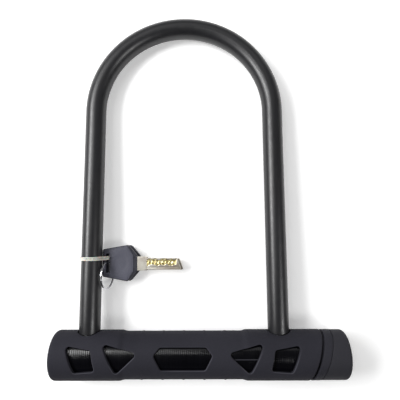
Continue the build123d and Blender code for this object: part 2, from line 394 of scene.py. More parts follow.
CORE = metal("core_steel", (0.50, 0.50, 0.52), 0.32, (1, 0.08, 1), 1400, 0.00003, 0.3, 0.25, 0.3)
BARSTEEL = metal("bar_steel", (0.42, 0.42, 0.44), 0.36, (0.08, 1, 1), 1400, 0.00003, 0.3, 0.25, 0.3)
ZINC = metal("housing_zinc", (0.46, 0.46, 0.48), 0.42, (1, 1, 1), 700, 0.00005, 0.4, 0.2, 0.3)
BRASS = metal("plug_brass", (0.62, 0.46, 0.20), 0.28, (0.05, 1, 1), 1600, 0.00003, 0.3, 0.2, 0.4)
WAFER = metal("wafer_brass", (0.66, 0.50, 0.22), 0.34, (1, 1, 0.1), 1400, 0.00003, 0.3, 0.2, 0.4)
SPRING = metal("spring_steel", (0.55, 0.55, 0.57), 0.26, (1, 1, 1), 1500, 0.00002, 0.2, 0.15, 0.2)
SCREW = metal("screw_steel", (0.055, 0.055, 0.06), 0.38, (1, 1, 1), 1500, 0.00003, 0.3, 0.2, 0.6)
RING = metal("ring_steel", (0.66, 0.66, 0.68), 0.16, (1, 1, 1), 900, 0.00001, 0.15, 0.12, 0.2)


def vinyl():
    """Satin black vinyl coating: smooth, with a slight orange peel, fine dust and faint rubbed streaks."""
    m = Mat("coating_vinyl")
    big, mid, fine = m.noise(22, 3), m.noise(160, 4), m.noise(1700, 3)
    streak = m.noise(420, 5, 0.6, m.scaled(1, 0.04, 1))
    col = m.mix(m.ramp(big, [(0.3, 0.0), (0.7, 1.0)]), (0.0095, 0.0095, 0.0108), (0.0125, 0.0125, 0.0145))
    col = m.mix(m.math("MULTIPLY", m.ramp(streak, [(0.62, 0.0), (0.8, 1.0)]), 0.25), col, (0.03, 0.03, 0.033))
    dust = m.ramp(m.voronoi(900), [(0.0, 1.0), (0.06, 0.0)])
    col = m.mix(m.math("MULTIPLY", dust, 0.3), col, (0.08, 0.08, 0.08))
    r = m.math("ADD", m.rng(mid, 0.3, 0.7, 0.33, 0.40), m.rng(streak, 0.3, 0.7, -0.03, 0.03))
    nrm = m.bump(mid, 0.10, 0.00012)
    nrm = m.bump(fine, 0.12, 0.00003, nrm)
    return m.out(col, r, nrm, Specular_IOR_Level=0.55)


def black_tube():
    """Black steel tube, glossy under its paint, with fine turning marks round it and a painted highlight on its ridge.
    """
    m = Mat("tube_steel")
    turn = m.noise(1500, 6, 0.7, m.scaled(1, 0.02, 0.02))
    band = m.noise(260, 3, 0.6, m.scaled(1, 0.03, 0.03))
    big = m.noise(40, 3)
    col = m.mix(m.ramp(turn, [(0.35, 0.0), (0.7, 1.0)]), (0.0008, 0.0008, 0.0013), (0.0026, 0.0026, 0.0042))
    # painted highlight: the marked ridge is made paler
    col = m.mix(m.n("ShaderNodeAttribute", attribute_name="painted_highlight").outputs["Fac"], col, (0.034, 0.034, 0.042))
    r = m.math("ADD", m.rng(turn, 0.3, 0.7, 0.13, 0.23), m.rng(big, 0.3, 0.7, -0.03, 0.03))
    rings = m.n("ShaderNodeTexWave", wave_type="BANDS", bands_direction="X")
    for key, v in (("Scale", 215.0), ("Distortion", 1.2), ("Detail", 3.0), ("Detail Scale", 1.0)):
        rings.inputs[key].default_value = v
    m.link(m.scaled(1, 0.05, 0.05), rings.inputs["Vector"])
    nrm = m.bump(turn, 0.5, 0.00005)
    nrm = m.bump(band, 0.3, 0.00010, nrm)
    nrm = m.bump(rings.outputs["Fac"], 0.55, 0.00012, nrm)
    return m.out(col, r, nrm, 0.0, Specular_IOR_Level=0.36)


def nylon():
    """Natural nylon: milky, slightly waxy, a little light passes into it. The valleys of the strap's teeth carry
    painted shade.
    """
    m = Mat("tie_nylon")
    big, fine = m.noise(180, 4), m.noise(1800, 3)
    col = m.mix(m.ramp(big, [(0.3, 0.0), (0.7, 1.0)]), (0.66, 0.645, 0.565), (0.80, 0.79, 0.73))
    at = m.n("ShaderNodeAttribute", attribute_name="tooth")
    # painted shade in the valleys of the strap's teeth
    col = m.mix(m.math("MULTIPLY", m.ramp(at.outputs["Fac"], [(0.15, 0.0), (0.8, 1.0)]), 0.75), col, (0.20, 0.19, 0.15))
    r = m.rng(big, 0.3, 0.7, 0.34, 0.46)
    return m.out(col, r, m.bump(fine, 0.2, 0.00003), Subsurface_Weight=0.25, Subsurface_Scale=0.0008, Specular_IOR_Level=0.5)


def blade_metal():
    """Nickel plate over brass: plate on the flats, bare brass with cutter marks where the track is milled, and painted
    shade on the plate towards the tip's lower half.
    """
    m = Mat("blade_nickel")
    at = m.n("ShaderNodeAttribute", attribute_name="milled")
    mask = m.ramp(at.outputs["Fac"], [(0.2, 0.0), (0.55, 1.0)])
    line = m.noise(1500, 5, 0.6, m.scaled(0.12, 1, 1))
    big, pits = m.noise(170, 4), m.voronoi(1100)
    blot = m.noise(520, 5, 0.65)
    cut = m.n("ShaderNodeTexWave", wave_type="BANDS", bands_direction="DIAGONAL")
    for key, v in (("Scale", 520.0), ("Distortion", 5.0), ("Detail", 3.0)):
        cut.inputs[key].default_value = v
    m.link(m.co, cut.inputs["Vector"])
    nickel = m.mix(m.ramp(big, [(0.35, 0.0), (0.7, 1.0)]), (0.56, 0.51, 0.45), (0.70, 0.68, 0.60))
    # painted shade: negative attribute values darken the plate towards the tip and its lower edge
    nickel = m.mix(m.math("MULTIPLY", m.rng(at.outputs["Fac"], -1.0, 0.0, 1.0, 0.0), 0.62), nickel, (0.26, 0.20, 0.14))
    nickel = m.mix(m.math("MULTIPLY", m.ramp(pits, [(0.05, 1.0), (0.2, 0.0)]), 0.55), nickel, (0.30, 0.27, 0.23))
    brass = m.mix(m.ramp(blot, [(0.38, 0.0), (0.52, 1.0)]), (0.25, 0.19, 0.07), (0.62, 0.53, 0.25))
    brass = m.mix(m.ramp(blot, [(0.55, 0.0), (0.66, 1.0)]), brass, (0.74, 0.71, 0.58))
    col = m.mix(mask, nickel, brass)
    r = m.math("ADD", m.rng(line, 0.3, 0.7, 0.38, 0.52), m.math("MULTIPLY", mask, -0.06))
    nrm = m.bump(line, 0.25, 0.00003)
    nrm = m.bump(m.math("MULTIPLY", cut.outputs["Fac"], mask), 0.6, 0.00010, nrm)
    nrm = m.bump(blot, 0.35, 0.00010, nrm)
    return m.out(col, r, nrm, 0.88)


VINYL, TUBE, NYLON, BLADE = vinyl(), black_tube(), nylon(), blade_metal()


def paint(o, material):
    o.data.materials.clear()
    o.data.materials.append(material)


for node, material in {
    "cap_screws": SCREW, "foot_pad_left": PAD, "foot_pad_right": PAD, "bar_bearing_end": BEARING,
    "bar_bearing_left": BEARING, "bar_bearing_right": BEARING, "housing_pin": SPRING, "nose_seal": SEAL,
    "wafers": WAFER, "wafer_springs": SPRING, "plug_clip": SPRING, "tailpiece": BARSTEEL, "locking_bar": BARSTEEL,
    "shackle_core": CORE,
}.items():
    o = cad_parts[node]
    o.data.materials.clear()
    o.data.materials.append(material)

# ------------------------------------------------------------------ crossbar sleeve
NT = 168
TH = np.radians(np.linspace(-90, 270, NT + 1))      # from the -y side, over the top, round the back
RS = END_R                                          # arc length is measured at this radius


def bar_r(x):
    return END_R + (MID_R - END_R) * smooth((STEP_B - np.abs(x)) / (STEP_B - STEP_A))


GROW = 0.5           # the opening is a little wider than the pierced hole, as its edges are dressed back
RIBS = [-31.0, -15.5, 0.0, 15.5, 31.0]


def rib(x, th):
    """Short raised grip ribs along both flanks of the slim middle."""
    flank = np.minimum(np.abs(th - math.radians(-90)), np.abs(th - math.radians(270)))
    flank = np.minimum(flank, np.abs(th - math.radians(90)))
    m = smooth((math.radians(19) - flank) / math.radians(5))
    h = sum(smooth((1.0 - np.abs(x - c)) / 0.7) for c in RIBS)
    return np.where(np.abs(th - math.radians(90)) < 0.6, 0.22, 0.45) * m * h


def cyl(x, th, r):
    return np.stack([x, r * np.sin(th), r * np.cos(th)], 1)


WINDOWS = [
    [(-84.8, 9.46), (-66.9, 6.56), (-63.8, -7.16), (-78.25, -8.45)],
    [(-58.5, 10.8), (-33.55, 4.51), (-48.4, -9.57)],
    [(-20.75, 3.21), (-16.55, 8.06), (16.55, 8.06), (20.75, 3.21), (15.8, -6.61), (-15.8, -6.61)],
]
WINDOWS += [[(-x, y) for x, y in WINDOWS[1]], [(-x, y) for x, y in WINDOWS[0]]]


def shell(r_fun, r_in, x_left, x_right_slope, left_cap, holes_r, windows, edge, bump_fun, rib_cols=()):
    """A tube wall about the crossbar's axis with rounded window and hole edges. x_right = a + b*y."""
    B = Build()
    B.marks = []
    a, b = x_right_slope
    outer_loops, inner_loops, walls = [], [], []

    def to_s(x, y, z):
        th = np.arctan2(y, z)
        th = np.where(th < -math.pi / 2, th + 2 * math.pi, th)
        return np.stack([x, RS * th], 1)

    steps = [0.0, 0.25, 0.5, 0.75, 1.0]
    for w in windows:
        for back in (1, -1):
            rows = []
            for t in steps:
                ang = t * math.pi / 2
                L = rounded(w, 1.6, GROW + edge * (1 - math.sin(ang)), 7, 14)
                R = r_fun(L[:, 0])
                z = np.sqrt(R ** 2 - L[:, 1] ** 2) - edge * (1 - math.cos(ang))
                rows.append(np.stack([L[:, 0], L[:, 1], z * back], 1))
            L = rounded(w, 1.6, GROW, 7, 14)
            rows.append(np.stack([L[:, 0], L[:, 1], back * np.sqrt(r_in ** 2 - L[:, 1] ** 2)], 1))
            walls.append(rows)
    for hx in (-LEG_X, LEG_X):
        rows = []
        ph = np.linspace(0, 2 * math.pi, 73)[:-1]
        for t in steps:
            ang = t * math.pi / 2
            rho = holes_r + edge * (1 - math.sin(ang))
            X, Z = hx + rho * np.cos(ph), rho * np.sin(ph)
            Y = np.sqrt(r_fun(X) ** 2 - Z ** 2) - edge * (1 - math.cos(ang))
            rows.append(np.stack([X, Y, Z], 1))
        X, Z = hx + holes_r * np.cos(ph), holes_r * np.sin(ph)
        rows.append(np.stack([X, np.sqrt(r_in ** 2 - Z ** 2), Z], 1))
        walls.append(rows)
    for rows in walls:
        outer_loops.append(to_s(*rows[0].T))
        inner_loops.append(to_s(*rows[-1].T))

    def skin(r_of, x0, xr, loops, flip):
        """One skin from x0 to xr(theta)."""
        s = RS * TH
        low_x = np.linspace(x0, xr(TH[0]), 110)
        loop = [(x, s[0]) for x in low_x]
        loop += [(xr(t), RS * t) for t in TH[1:]]
        loop += [(x, s[-1]) for x in low_x[::-1][1:]]
        loop += [(x0, v) for v in s[::-1][1:-1]]
        G = grid(x0 + 0.8, xr(math.pi / 2) + 1, s[0], s[-1], 1.75, RS * (TH[1] - TH[0]))
        extra = [[(c + d, v) for v in s[1:-1]] for c in rib_cols for d in (-1.2, -0.95, -0.75, -0.55, -0.3, 0.3, 0.55, 0.75, 0.95, 1.2)]
        if extra and not flip:
            E = np.array([p for e in extra for p in e])
            near = np.zeros(len(G), bool)
            for c in rib_cols:
                near |= np.abs(G[:, 0] - c) < 1.5
            fl = (np.abs(np.abs(G[:, 1] / RS - math.pi / 2) - 0) < 0.42) | (G[:, 1] / RS < -math.pi / 2 + 0.42) | (G[:, 1] / RS > 1.5 * math.pi - 0.42)
            G = G[~(near & fl)]
            t = E[:, 1] / RS
            E = E[(np.abs(t - math.pi / 2) < 0.42) | (t < -math.pi / 2 + 0.42) | (t > 1.5 * math.pi - 0.42)]
            G = np.concatenate([G, E])
        pts, faces, counts = sheet2d(loop, loops, G, 0.42)
        x, th = pts[:, 0], pts[:, 1] / RS
        ids = B.add(cyl(x, th, r_of(x, th)))
        for f in faces:
            B.f.append(tuple(int(ids[k]) for k in (f[::-1] if flip else f)))

    e = edge
    skin(lambda x, th: r_fun(x) + bump_fun(x, th), x_left[0],
         lambda t: a + b * (r_fun(a)) * np.sin(t) - e, outer_loops, False)
    skin(lambda x, th: np.full(len(x), r_in), x_left[1], lambda t: a + b * r_in * np.sin(t), inner_loops, True)
    for k, rows in enumerate(walls):
        ids = B.rings(rows)
        if k < 2 * len(windows):
            # painted highlight weights on the window edge fillets, strongest on the south and east sides, as if lit
            # there
            d = rows[0][:, :2] - rows[0][:, :2].mean(0)
            d /= np.linalg.norm(d, axis=1)[:, None]
            w = 0.12 + 0.88 * smooth((0.55 * d[:, 0] - d[:, 1] + 0.1) / 0.8)
            B.marks += [(i, w) for i in ids[1:4]]
    # right edge
    th = TH[:-1]
    R1 = float(r_fun(np.array([a]))[0])
    rows = []
    for t in steps:
        ang = t * math.pi / 2
        r = R1 - e * (1 - math.cos(ang))
        off = e * (1 - math.sin(ang))
        xx = (a + b * R1 * np.sin(th) - e) if t == 0 else (a + b * r * np.sin(th) - off)
        rows.append(cyl(xx, th, np.full(NT, r)))
    rows.append(cyl(a + b * r_in * np.sin(th), th, np.full(NT, r_in)))
    B.rings(rows)
    left_cap(B, th)
    return B


def sleeve_left(B, th):
    rows = []
    for t in np.linspace(0, 1, 9):
        ang = t * math.pi / 2
        rows.append((BAR_X0 + RIM_R - RIM_R * math.sin(ang), END_R - RIM_R + RIM_R * math.cos(ang)))
    rows += [(BAR_X0, 14.0), (BAR_X0, 13.0), (BAR_X0 + 0.12, 12.8), (BAR_X0 + 0.45, 12.65), (BAR_X0 + 0.45, 11.95), (BAR_X0 + 0.12, 11.8), (BAR_X0, 11.6), (BAR_X0, 8.0), (BAR_X0, 4.0), (BAR_X0, 1.9), (BAR_X0 + 0.25, 1.6), (BAR_X0 + 0.25, 1.0), (BAR_X0 + 0.05, 0.8)]
    ids = B.rings([cyl(np.full(NT, x), th, np.full(NT, r)) for x, r in rows])
    B.fan(ids[-1], (BAR_X0 + 0.05, 0, 0))
    ids = B.rings([cyl(np.full(NT, TUBE_X0 - 0.1), th, np.full(NT, r)) for r in (SLEEVE_IN, 10.0, 4.0)])
    B.fan(ids[-1], (TUBE_X0 - 0.1, 0, 0))


B = shell(bar_r, SLEEVE_IN, (BAR_X0 + RIM_R, TUBE_X0 - 0.1), (SEAM_1 - SEAM_1_W / 2 - 0.25, SLOPE), sleeve_left, HOLE_R, WINDOWS, 0.6, rib, RIBS)
# painted highlight on the sleeve's window edges
painted_highlight = np.zeros(B.n)
for i, w in B.marks:
    painted_highlight[i] = w
sleeve = B.make("sleeve", "crossbar", attr={"painted_highlight": painted_highlight})
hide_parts("crossbar_sleeve")
paint(sleeve, SLEEVE)

# ------------------------------------------------------------------ inner tube


def tube_left(B, th):
    B.rings([cyl(np.full(NT, TUBE_X0), th, np.full(NT, r)) for r in (TUBE_R, TUBE_IN)])


B = shell(lambda x: np.full(np.shape(x), TUBE_R), TUBE_IN, (TUBE_X0, TUBE_X0), (TUBE_X1, 0.0), tube_left, 8.3, [], 0.15, lambda x, t: 0 * x)
# the fine ridge seen along the tube in the fourth window, with a painted highlight along it
ang = np.linspace(-0.021, 0.021, 7)
loop = np.concatenate([np.stack([ang, 0.24 * np.sqrt(1 - (ang / 0.0211) ** 2)], 1), [[0.012, -0.5], [-0.012, -0.5]]])
before = B.n
B.rings([cyl(np.full(len(loop), x), 0.020 + loop[:, 0], TUBE_R + loop[:, 1]) for x in (35.0, 48.0, 62.0)])
# painted highlight on the ridge
painted_highlight = np.zeros(B.n)
painted_highlight[before:] = 1.0
tube = B.make("inner_tube", "crossbar", attr={"painted_highlight": painted_highlight})
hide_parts("crossbar_tube")
paint(tube, TUBE)


# ------------------------------------------------------------------ collar ring and end cap
def leaning(profile):
    """A closed ring from (x, slope, r) points: x = x0 + slope * r * sin(theta)."""
    th = TH[:-1]
    B = Build()
    ids = B.rings([cyl(x + s * r * np.sin(th), th, np.full(NT, r)) for x, s, r in profile])
    B.bridge(ids[-1], ids[0])
    return B


def corner(x0, r0, e, kind, n=4):
    """Rounded corner points of radius e: kind 'L' for a left outer corner, 'R' for a right one."""
    out = []
    for k in range(n + 1):
        a = k / n * math.pi / 2
        if kind == "L":
            out.append((x0 + e * (1 - math.sin(a)), r0 - e * (1 - math.cos(a))))
        else:
            out.append((x0 - e * (1 - math.cos(a)), r0 - e * (1 - math.sin(a))))
    return out[::-1] if kind == "L" else out


xa, xb = SEAM_1 + SEAM_1_W / 2 + 0.25, SEAM_2 - SEAM_2_W / 2
RC = END_R - 0.1
gw = SEAM_1_W + 0.48
prof = [(xa - gw, SLOPE, SLEEVE_IN), (xa - gw, SLOPE, 15.75), (xa - gw * 0.5, SLOPE, 15.7), (xa, SLOPE, 15.75)] + [(x, SLOPE, r) for x, r in corner(xa, RC, 0.45, "L")]
prof += [(x, SLOPE, RC) for x in np.linspace(xa + 1.2, xb - 1.2, 5)]
prof += [(x, SLOPE, r) for x, r in corner(xb, RC, 0.3, "R")] + [(xb, SLOPE, SLEEVE_IN)]
collar = leaning(prof).make("collar", "crossbar")
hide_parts("collar_ring")
paint(collar, COLLAR)

xc = SEAM_2 + SEAM_2_W / 2
prof = [(xc, SLOPE, SLEEVE_IN)] + [(x, SLOPE, r) for x, r in corner(xc, CAP_R, 0.3, "L")]
x_end = BAR_X1 - RIM_R
for k in range(1, 9):
    f = k / 8
    prof.append((xc + 0.8 + f * (x_end - xc - 0.8), SLOPE * (1 - f), CAP_R))
for k in range(1, 10):
    a = k / 9 * math.pi / 2
    prof.append((x_end + RIM_R * math.sin(a), 0, CAP_R - RIM_R + RIM_R * math.cos(a)))
prof += [(BAR_X1, 0, 12.4), (BAR_X1, 0, 11.0)]
for k in range(0, 6):
    a = k / 5 * math.pi / 2
    prof.append((BAR_X1 - 0.8 + 0.8 * math.cos(a), 0, 9.8 + 0.8 - 0.8 * math.sin(a)))
prof += [(WALL_X, 0, 9.8), (WALL_X, 0, SLEEVE_IN)]
cap = leaning(prof).make("end_cap_shell", "crossbar")
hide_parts("end_cap")
paint(cap, CAP)


# ------------------------------------------------------------------ turned parts
def lathe(profile, n=96, axis="x", at=(0, 0, 0)):
    """A closed ring of revolution from (along, r) points."""
    t = np.linspace(0, 2 * math.pi, n + 1)[:-1]
    B = Build()
    rows = []
    for a, r in profile:
        if axis == "x":
            p = np.stack([np.full(n, a), r * np.cos(t), r * np.sin(t)], 1)
        else:
            p = np.stack([r * np.cos(t), np.full(n, a), r * np.sin(t)], 1)
        rows.append(p + np.array(at))
    ids = B.rings(rows)
    B.bridge(ids[-1], ids[0])
    return B


for side, x in (("left", -LEG_X), ("right", LEG_X)):
    o = lathe([(9.4, 7.3), (9.6, CORE_R + 0.08), (14.7, CORE_R + 0.08), (15.1, 7.5), (15.1, 7.9), (14.8, 8.22), (9.6, 8.22), (9.4, 8.0)],
              96, "y", (x, 0, 0)).make(f"leg_guide_{side}", "crossbar")
    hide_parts(f"leg_bush_{side}")
    paint(o, BUSH)

housing = lathe([(84.0, PLUG_BORE + 0.3), (84.0, 12.5), (84.4, 12.9), (114.6, 12.9), (115.0, 12.5), (115.0, NOSE_R), (117.9, NOSE_R),
                 (118.25, NOSE_R - 0.12), (118.4, NOSE_R - 0.45), (118.4, 8.6), (118.15, 8.4), (118.15, 8.0), (118.4, 7.8), (118.4, PLUG_BORE + 0.15), (118.3, PLUG_BORE)], 120).make("cylinder_housing", "crossbar")
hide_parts("lock_housing")
paint(housing, ZINC)


def keyed_plug():
    B = Build()
    n = 96
    t = np.linspace(0, 2 * math.pi, n + 1)[:-1]
    ring = lambda x, r: np.stack([np.full(n, x), r * np.cos(t), r * np.sin(t)], 1)
    back = [(81.5, 6.9), (81.8, PLUG_R), (82.2, PLUG_R), (82.2, 6.35), (83.4, 6.35), (83.4, PLUG_R), (117.9, PLUG_R), (118.2, 6.95)]
    ids = B.rings([ring(x, r) for x, r in back])
    B.fan(ids[0], (81.5, 0, 0))
    # the face: a turned groove, then a flat with the keyway in it
    ids2 = B.rings([ring(118.2, 6.95), ring(118.2, 6.3), ring(117.95, 6.15), ring(117.95, 5.95), ring(118.2, 5.8)])
    B.bridge(ids[-1], ids2[0])
    way = rounded([(-1.35, -4.9), (1.35, -4.9), (1.35, 4.9), (-1.35, 4.9)], 0.5, 0.0, 4, 5)
    lip = rounded([(-1.35, -4.9), (1.35, -4.9), (1.35, 4.9), (-1.35, 4.9)], 0.5, 0.35, 4, 5)
    edge = np.stack([5.8 * np.cos(t), 5.8 * np.sin(t)], 1)
    pts, faces, _ = sheet2d(edge, [lip], grid(-5.8, 5.8, -5.8, 5.8, 0.8, 0.8), 0.3)
    f_ids = B.add(np.stack([np.full(len(pts), 118.2), pts[:, 0], pts[:, 1]], 1))
    for f in faces:
        B.f.append(tuple(int(f_ids[k]) for k in f))
    rows = [np.stack([np.full(len(lip), 118.2), lip[:, 0], lip[:, 1]], 1), np.stack([np.full(len(way), 117.85), way[:, 0], way[:, 1]], 1),
            np.stack([np.full(len(way), 88.0), way[:, 0], way[:, 1]], 1)]
    wid = B.rings(rows)
    B.fan(wid[-1], (88.0, 0, 0))
    return B


o = keyed_plug().make("turning_plug", "plug")
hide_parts("lock_plug")
paint(o, BRASS)

# ------------------------------------------------------------------ shackle coating


def swept_u(r, y0, n=72, arch=120, leg=14):
    """Rings of a U-shaped rod from the left foot to the right one."""
    t = np.linspace(0, 2 * math.pi, n + 1)[:-1]
    rows = []
    for y in np.linspace(y0, LEG_Y, leg + 1)[:-1]:
        rows.append(np.stack([-LEG_X + r * np.cos(t), np.full(n, y), r * np.sin(t)], 1))
    for a in np.linspace(math.pi, 0, arch + 1):
        rad = LEG_X + r * np.cos(math.pi - t)
        rows.append(np.stack([rad * math.cos(a), LEG_Y + rad * math.sin(a), r * np.sin(t)], 1))
    for y in np.linspace(LEG_Y, y0, leg + 1)[1:]:
        rows.append(np.stack([LEG_X + r * np.cos(math.pi - t), np.full(n, y), r * np.sin(t)], 1))
    return rows


B = Build()
rows = swept_u(ROD_R, COAT_Y + 0.5)
n = len(rows[0])
t = np.linspace(0, 2 * math.pi, n + 1)[:-1]


def coat_end(x, flip):
    out = []
    for r, y in ((CORE_R + 0.02, COAT_Y + 1.0), (CORE_R + 0.02, COAT_Y), (7.6, COAT_Y), (7.85, COAT_Y + 0.15), (7.97, COAT_Y + 0.32)):
        c = np.cos(math.pi - t) if flip else np.cos(t)
        out.append(np.stack([x + r * c, np.full(n, y), r * np.sin(t)], 1))
    return out


rows = coat_end(-LEG_X, False) + rows + coat_end(LEG_X, True)[::-1]
inner = swept_u(CORE_R + 0.02, COAT_Y + 1.0, n, 120, 6)
ids = B.rings(rows)
inn = B.rings(inner)
coat = B.make("rod_coating", "shackle", sharp=50)
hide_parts("shackle_coating")
paint(coat, VINYL)

# ------------------------------------------------------------------ keys
BOW_2D = [(-64.3, 57.4), (-44.5, 53.6), (-39.5, 61.7), (-39.6, 74.1), (-44.8, 82.4), (-64.3, 79.0)]
SLOT_2D = [(-62.5, 60.5), (-58.85, 60.5), (-58.85, 75.6), (-62.5, 75.6)]
BLADE_2D = [(-48.0, 64.0), (-41.5, 64.0), (-41.5, 62.0), (-31.5, 62.0), (-30.2, 62.7), (-3.4, 62.7), (-2.6, 63.5),
            (-5.6, 71.4), (-6.4, 71.8), (-31.0, 71.8), (-32.0, 73.0), (-41.5, 73.0), (-41.5, 71.0), (-48.0, 71.0)]


def turn_key(P, dx, dy, spin):
    P = np.array(P, float)
    a = math.radians(spin)
    x, y = P[:, 0] - STRAND_X, P[:, 1] - TIE_Y
    P[:, 0] = x * math.cos(a) - y * math.sin(a) + STRAND_X + dx
    P[:, 1] = x * math.sin(a) + y * math.cos(a) + TIE_Y + dy
    return P


def bow_mesh(z0, put, left, slot=SLOT_2D):
    """A moulded bow: chamfered edge, a fine line let in round the face, and the slot for the tie and ring. Its lower
    step and rim carry painted shade.
    """
    B = Build()
    zt = z0 + BOW_T
    outline = [(left, y) if x < -64 else (x, y) for x, y in BOW_2D]
    up = lambda L, z: put(np.stack([L[:, 0], L[:, 1], np.full(len(L), z)], 1))
    ring_o = lambda g: rounded(outline, 1.7, g, 7, 14)
    ring_s = lambda g: rounded(slot, 1.1, g, 6, 10)
    rim = [(0.0, z0 + BOW_T / 2), (0.0, zt - 0.95), (-0.06, zt - 0.82), (-0.66, zt - 0.16), (-0.80, zt - 0.04), (-0.98, zt), (-1.30, zt),
           (-1.40, zt - 0.06), (-1.46, zt - 0.22), (-1.60, zt - 0.22), (-1.66, zt - 0.06)]
    bot = [(g, 2 * z0 + BOW_T - z) for g, z in rim[1:]][::-1]
    edge = B.rings([up(ring_o(g), z) for g, z in bot + rim])
    edge = [i for i, (g, z) in zip(edge, bot + rim) if g > -0.75]
    s_top = [(0.0, zt - 0.45), (0.06, zt - 0.2), (0.2, zt - 0.06), (0.42, zt)]
    s_rows = [(g, 2 * z0 + BOW_T - z) for g, z in s_top][::-1] + s_top
    B.rings([up(ring_s(g), z) for g, z in s_rows])
    for z, sign in ((zt, 1), (z0, -1)):
        o2, s2 = ring_o(-1.66), ring_s(0.42)
        pts, faces, counts = sheet2d(o2, [s2], grid(-66, -38, 52, 84, 0.8, 0.7), 0.3)
        # a faint hollow in the middle of the face
        d = np.hypot((pts[:, 0] + 50.0) / 7.0, (pts[:, 1] - 68.0) / 9.5)
        dz = -0.20 * smooth((1.0 - d) / 0.5)
        dz[: counts[0]] = -0.06
        dz[counts[0]: counts[0] + counts[1]] = 0
        ids = B.add(put(np.stack([pts[:, 0], pts[:, 1], z + sign * dz], 1)))
        for f in faces:
            B.f.append(tuple(int(ids[k]) for k in f))
    # the lower step of the bow, which carries the blade, with painted shade on it and on the rim
    step = [(-50.0, 56.0), (-44.0, 54.1), (-37.1, 62.3), (-37.2, 73.7), (-44.2, 82.0), (-50.0, 79.6)]
    zb, zs = z0 + 0.55, z0 + 3.55
    rows = [up(rounded(step, 1.0, g, 5, 8), z) for g, z in
            ((-3.2, zb), (-0.5, zb), (-0.12, zb + 0.12), (0, zb + 0.5), (0, zs - 0.35), (-0.08, zs - 0.1), (-0.25, zs + 0.04), (-1.2, zs + 0.28), (-2.6, zs + 0.6), (-3.2, zs + 0.6))]
    before = B.n
    B.rings(rows)
    # painted shade marks: the lower step fully, the rim's sides and chamfer at 0.85
    B.step = np.zeros(B.n)
    B.step[before:] = 1.0
    B.step[np.concatenate(edge)] = 0.85
    return B


def track(x, y):
    """Depth of the milled track and side cuts on a blade's face, 0 to 1."""
    c = 68.65 + 0.42 * np.sin((x + 28) * 0.62) + 0.22 * np.sin((x + 28) * 1.43 + 0.8)
    half = 2.25 + 0.38 * np.sin(x * 1.05)
    d = np.abs(y - c) - half
    along = smooth((x + 30.2) / 0.8) * smooth((-5.9 - x) / 0.8)
    return smooth(-d / 0.45 + 0.5) * along


def blade_mesh(z0, put):
    B = Build()
    zb, zt = z0 + (BOW_T - BLADE_T) / 2, z0 + (BOW_T + BLADE_T) / 2
    e = 0.22
    R = lambda g: rounded(BLADE_2D, 0.35, g, 4, 40)
    up = lambda L, z: np.stack([L[:, 0], L[:, 1], np.full(len(L), z)], 1)
    prof = [(-e, zb), (-e * 0.3, zb + e * 0.3), (0, zb + e), (0, zt - e), (-e * 0.3, zt - e * 0.3), (-e, zt)]
    rows = [put(up(R(g), z)) for g, z in prof]
    B.rings(rows)
    mask = [np.zeros(sum(len(r) for r in rows))]
    for z, sign in ((zt, 1), (zb, -1)):
        o2 = R(-e)
        G = grid(-48, -2, 61.8, 73.2, 0.30, 0.26)
        pts, faces, counts = sheet2d(o2, [], G, 0.12)
        m = track(pts[:, 0], pts[:, 1])
        m[: counts[0]] = 0
        # a small fuller along the lower edge
        fuller = smooth(1 - np.abs(pts[:, 1] - 64.4) / 0.55) * smooth((pts[:, 0] + 30.5) / 1.0) * smooth((-5.0 - pts[:, 0]) / 1.0)
        h = 0.50 * m * (0.66 + 0.34 * np.sin(pts[:, 0] * 2.3 + 0.9 * np.sin(pts[:, 1] * 1.7))) + 0.18 * fuller
        h[: counts[0]] = 0
        P = put(np.stack([pts[:, 0], pts[:, 1], z - sign * h], 1))
        ids = B.add(P)
        # negative values carry painted shade on the unmilled plate, strongest towards the tip's lower half
        mask.append(np.where(m > 0.02, m, -smooth((pts[:, 0] + 27.0) / 20.0) * smooth((69.0 - pts[:, 1]) / 1.5)))
        for f in faces:
            B.f.append(tuple(int(ids[k]) for k in f))
    return B, np.concatenate(mask)


for k, (z0, dx, dy, spin) in {1: (BOW1_Z, 0, 0, 0), 2: (BOW2_Z, 1.6, -0.1, -0.5)}.items():
    put = lambda P, a=dx, b=dy, c=spin: turn_key(P, a, b, c)
    slot = [SLOT_2D, [(-62.5, 60.5), (-59.15, 60.5), (-59.15, 75.6), (-62.5, 75.6)]][k - 1]
    B = bow_mesh(z0, put, {1: -64.85, 2: -66.0}[k], slot)
    o = B.make(f"bow_{k}", "keys", level, sharp=30, attr={"step": B.step})
    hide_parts(f"key_bow_{k}")
    paint(o, BOW)
    B, milled = blade_mesh(z0, put)
    o = B.make(f"blade_{k}", "keys", level, sharp=42, attr={"milled": milled})
    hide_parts(f"key_blade_{k}")
    paint(o, BLADE)

# ------------------------------------------------------------------ split ring: two flat coils with a jog


